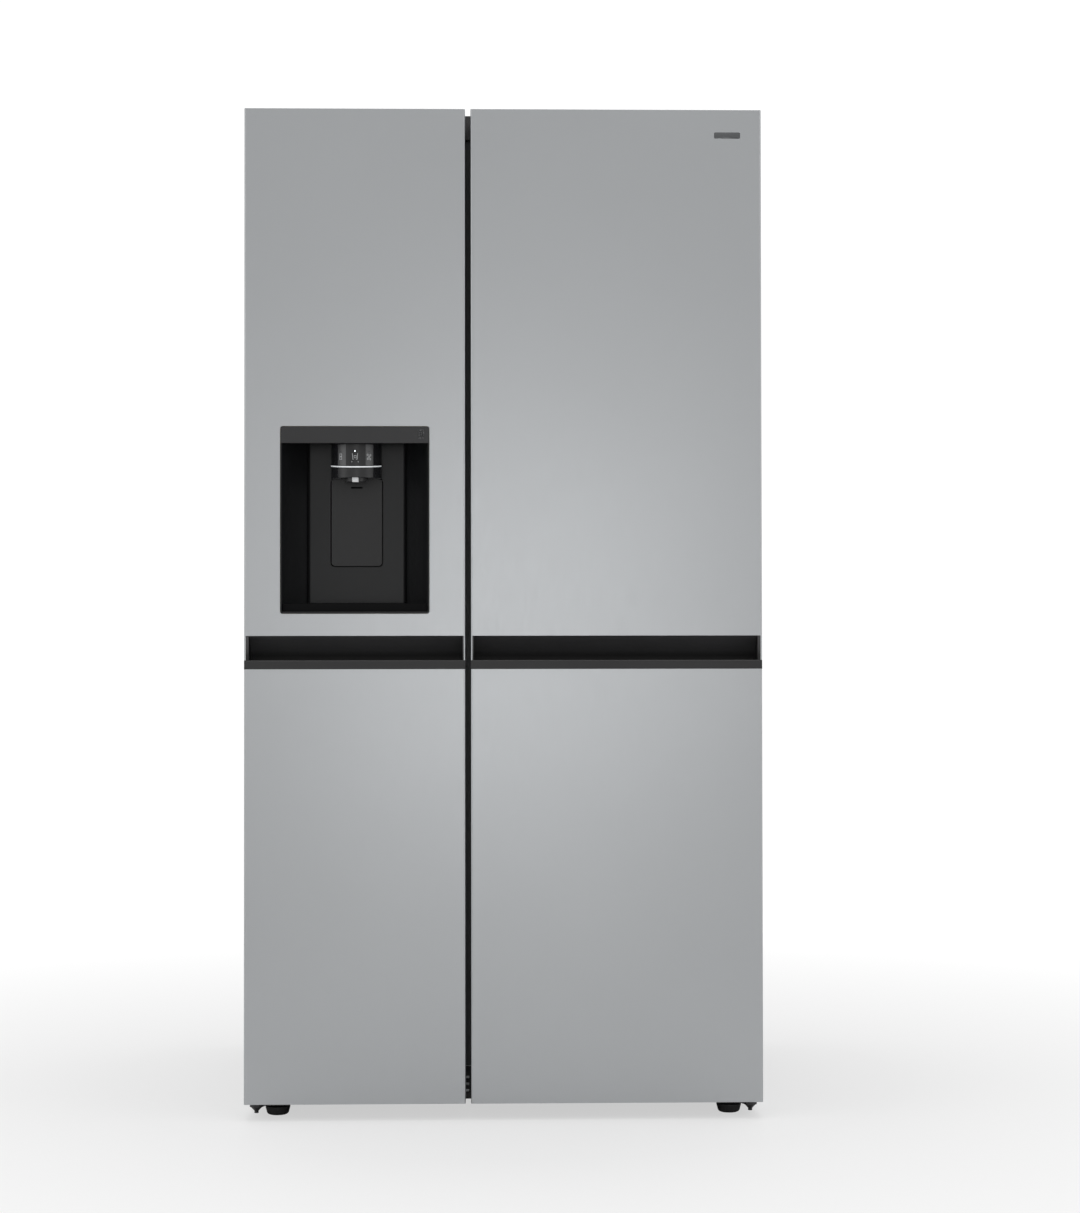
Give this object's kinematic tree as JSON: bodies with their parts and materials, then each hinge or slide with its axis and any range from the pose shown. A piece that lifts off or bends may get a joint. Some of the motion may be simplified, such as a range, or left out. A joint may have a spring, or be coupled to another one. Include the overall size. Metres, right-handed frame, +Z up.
{
  "type": "side by side refrigerator",
  "caption": "Two-door side by side refrigerator with a tall freezer on the left, an ice and water dispenser in its door, and recessed horizontal hand pockets.",
  "frame": {"origin": "on the floor, centred under the appliance's bounding box", "axes": "+X to the right seen from the front, +Y to the back (the doors face -Y), +Z up"},
  "size_m": [0.912, 0.852, 1.786],
  "materials": {
    "satin_steel": "satin steel, fine vertical grain",
    "case_paint": "dark grey paint, semi-gloss",
    "galvanised": "zinc-coated sheet",
    "foam": "matte closed-cell foam",
    "liner_white": "glossy white",
    "black_plastic": "satin black",
    "dark_plastic": "satin dark grey",
    "handle_plastic": "satin charcoal",
    "white_plastic": "satin white",
    "clear_plastic": "clear, glossy",
    "shelf_glass": "clear tempered glass",
    "gasket_vinyl": "matte",
    "compressor_paint": "black enamel",
    "black_enamel": "black enamel",
    "coil_aluminium": "bare",
    "roller_nylon": "matte",
    "foot_rubber": "matte black"
  },
  "bodies": {
    "cabinet": {"case_shell": "case_paint", "back_panel": "galvanised", "cabinet_foam": "foam", "freezer_liner": "liner_white", "fridge_liner": "liner_white", "front_flange": "case_paint", "base_frame": "galvanised", "top_hinge_cover": "dark_plastic", "upper_hinges": "galvanised", "lower_hinges": "black_enamel", "toe_grille": "black_plastic", "compressor": "compressor_paint", "condenser_coil": "black_enamel", "condenser_fan_motor": "black_plastic", "drain_pan": "white_plastic", "machine_cover": "galvanised", "evaporator_coil": "coil_aluminium", "freezer_air_duct": "liner_white", "fridge_air_duct": "liner_white", "freezer_shelves": "shelf_glass", "fridge_shelves": "shelf_glass", "ice_maker": "white_plastic", "filter_housing": "liner_white", "water_valve": "white_plastic", "power_gland": "black_plastic"},
    "freezer_door": {"freezer_door_panels": "satin_steel", "freezer_door_foam": "foam", "freezer_door_liner": "liner_white", "freezer_door_gasket": "gasket_vinyl", "freezer_door_handle": "handle_plastic", "freezer_door_caps": "dark_plastic", "freezer_door_bins": "clear_plastic", "dispenser_housing": "black_plastic", "dispenser_fascia": "handle_plastic", "dispenser_head": "handle_plastic", "dispenser_nozzle": "white_plastic"},
    "fridge_door": {"fridge_door_panels": "satin_steel", "fridge_door_foam": "foam", "fridge_door_liner": "liner_white", "fridge_door_gasket": "gasket_vinyl", "fridge_door_handle": "handle_plastic", "fridge_door_caps": "dark_plastic", "fridge_door_bins": "clear_plastic"},
    "front_rollers_body": {"front_rollers": "roller_nylon"},
    "rear_rollers_body": {"rear_rollers": "roller_nylon"},
    "leveling_foot_left_body": {"leveling_foot_left": "foot_rubber"},
    "leveling_foot_right_body": {"leveling_foot_right": "foot_rubber"},
    "condenser_fan_body": {"condenser_fan": "white_plastic"},
    "evaporator_fan_body": {"evaporator_fan": "white_plastic"},
    "freezer_drawer_upper_body": {"freezer_drawer_upper": "clear_plastic"},
    "freezer_drawer_lower_body": {"freezer_drawer_lower": "clear_plastic"},
    "deli_drawer_body": {"deli_drawer": "clear_plastic"},
    "crisper_upper_body": {"crisper_upper": "clear_plastic"},
    "crisper_lower_body": {"crisper_lower": "clear_plastic"},
    "ice_bucket_body": {"ice_bucket": "clear_plastic"},
    "ice_auger_body": {"ice_auger": "coil_aluminium"},
    "water_filter_body": {"water_filter": "liner_white"},
    "dispenser_paddle_body": {"dispenser_paddle": "black_plastic"},
    "drip_tray_body": {"drip_tray": "black_plastic"},
    "dairy_cover_body": {"dairy_cover": "clear_plastic"}
  },
  "joints": [
    {"name": "freezer_door_hinge", "type": "hinge", "parent": "cabinet", "child": "freezer_door", "pos_m": [-0.438, -0.378, 0.9], "axis": [0, 0, -1], "range_deg": [0, 130]},
    {"name": "fridge_door_hinge", "type": "hinge", "parent": "cabinet", "child": "fridge_door", "pos_m": [0.438, -0.378, 0.9], "axis": [0, 0, 1], "range_deg": [0, 130]},
    {"name": "freezer_drawer_upper_slide", "type": "slide", "parent": "cabinet", "child": "freezer_drawer_upper_body", "axis": [0, -1, 0], "range_m": [0, 0.26]},
    {"name": "freezer_drawer_lower_slide", "type": "slide", "parent": "cabinet", "child": "freezer_drawer_lower_body", "axis": [0, -1, 0], "range_m": [0, 0.26]},
    {"name": "deli_drawer_slide", "type": "slide", "parent": "cabinet", "child": "deli_drawer_body", "axis": [0, -1, 0], "range_m": [0, 0.26]},
    {"name": "crisper_upper_slide", "type": "slide", "parent": "cabinet", "child": "crisper_upper_body", "axis": [0, -1, 0], "range_m": [0, 0.26]},
    {"name": "crisper_lower_slide", "type": "slide", "parent": "cabinet", "child": "crisper_lower_body", "axis": [0, -1, 0], "range_m": [0, 0.26]},
    {"name": "ice_bucket_slide", "type": "slide", "parent": "cabinet", "child": "ice_bucket_body", "axis": [0, -1, 0], "range_m": [0, 0.221]},
    {"name": "ice_auger_spin", "type": "hinge", "parent": "ice_bucket_body", "child": "ice_auger_body", "pos_m": [-0.26175, 0.2, 1.395], "axis": [0, 1, 0], "continuous": true},
    {"name": "water_filter_turn", "type": "hinge", "parent": "cabinet", "child": "water_filter_body", "pos_m": [0.352, -0.02, 1.66], "axis": [0, 1, 0], "range_deg": [0, 90]},
    {"name": "dispenser_paddle_hinge", "type": "hinge", "parent": "freezer_door", "child": "dispenser_paddle_body", "pos_m": [-0.26175, -0.352, 1.128], "axis": [1, 0, 0], "range_deg": [0, 8], "stiffness_Nm_per_rad": 0.5, "springref_deg": -5.73},
    {"name": "drip_tray_slide", "type": "slide", "parent": "freezer_door", "child": "drip_tray_body", "axis": [0, -1, 0], "range_m": [0, 0.06]},
    {"name": "dairy_cover_hinge", "type": "hinge", "parent": "fridge_door", "child": "dairy_cover_body", "pos_m": [0.186, -0.3395, 1.503], "axis": [1, 0, 0], "range_deg": [0, 80]},
    {"name": "condenser_fan_spin", "type": "hinge", "parent": "cabinet", "child": "condenser_fan_body", "pos_m": [-0.104, 0.282, 0.152], "axis": [1, 0, 0], "continuous": true},
    {"name": "evaporator_fan_spin", "type": "hinge", "parent": "cabinet", "child": "evaporator_fan_body", "pos_m": [-0.24338, 0.277, 0.935], "axis": [0, 1, 0], "continuous": true},
    {"name": "front_rollers_spin", "type": "hinge", "parent": "cabinet", "child": "front_rollers_body", "pos_m": [0, -0.262, 0.0225], "axis": [1, 0, 0], "continuous": true},
    {"name": "rear_rollers_spin", "type": "hinge", "parent": "cabinet", "child": "rear_rollers_body", "pos_m": [0, 0.352, 0.02], "axis": [1, 0, 0], "continuous": true},
    {"name": "leveling_foot_left_screw", "type": "hinge", "parent": "cabinet", "child": "leveling_foot_left_body", "pos_m": [-0.402, -0.356, 0.02], "axis": [0, 0, 1], "continuous": true},
    {"name": "leveling_foot_right_screw", "type": "hinge", "parent": "cabinet", "child": "leveling_foot_right_body", "pos_m": [0.402, -0.356, 0.02], "axis": [0, 0, 1], "continuous": true}
  ],
  "couplings": [
    {"joint": "freezer_drawer_upper_slide", "follows": "freezer_door_hinge", "m_per_rad": 0.1145},
    {"joint": "freezer_drawer_lower_slide", "follows": "freezer_door_hinge", "m_per_rad": 0.1145},
    {"joint": "deli_drawer_slide", "follows": "fridge_door_hinge", "m_per_rad": 0.1145},
    {"joint": "crisper_upper_slide", "follows": "fridge_door_hinge", "m_per_rad": 0.1145},
    {"joint": "crisper_lower_slide", "follows": "fridge_door_hinge", "m_per_rad": 0.1145},
    {"joint": "ice_bucket_slide", "follows": "freezer_door_hinge", "m_per_rad": 0.0974}
  ]
}
